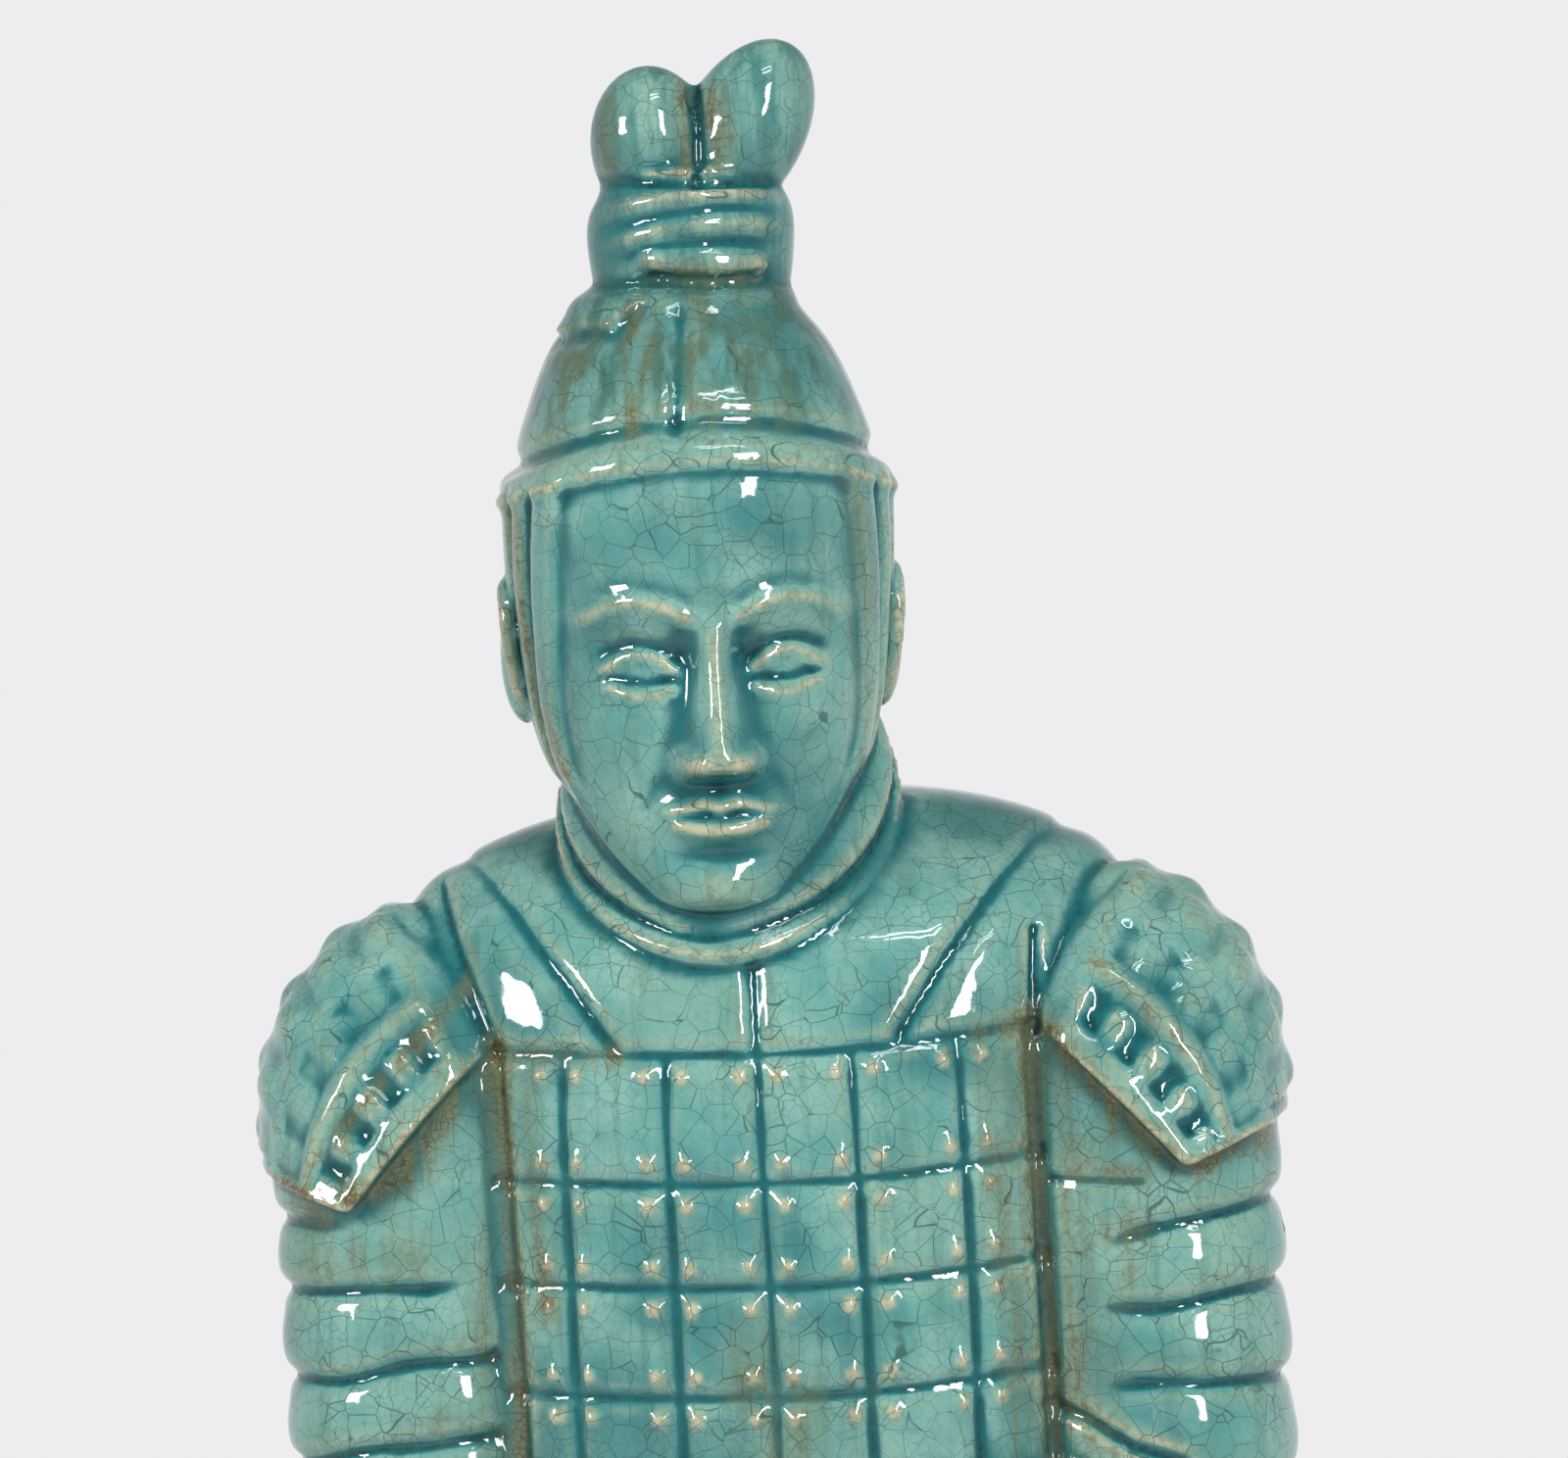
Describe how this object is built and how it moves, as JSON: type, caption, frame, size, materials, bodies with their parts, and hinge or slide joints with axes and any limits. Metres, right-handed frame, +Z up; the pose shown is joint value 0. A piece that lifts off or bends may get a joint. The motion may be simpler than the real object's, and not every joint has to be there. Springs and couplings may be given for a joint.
{
  "type": "ceramic dignitary figure",
  "caption": "Standing ceramic figure of an armoured dignitary with a topknot and joined hands, on a low base, under a crackled turquoise glaze.",
  "frame": {"origin": "middle of the underside of the base", "axes": "+Z up the figure, -Y the way its chest faces, +X to the viewer's right"},
  "size_m": [0.181, 0.132, 0.5602],
  "materials": {
    "crackled_glaze": "glossy translucent turquoise glaze with a dark crackle, pooled dark teal in the grooves and thin and pale on the ridges"
  },
  "bodies": {
    "root": {"ceramic_figure": "crackled_glaze"}
  },
  "joints": []
}
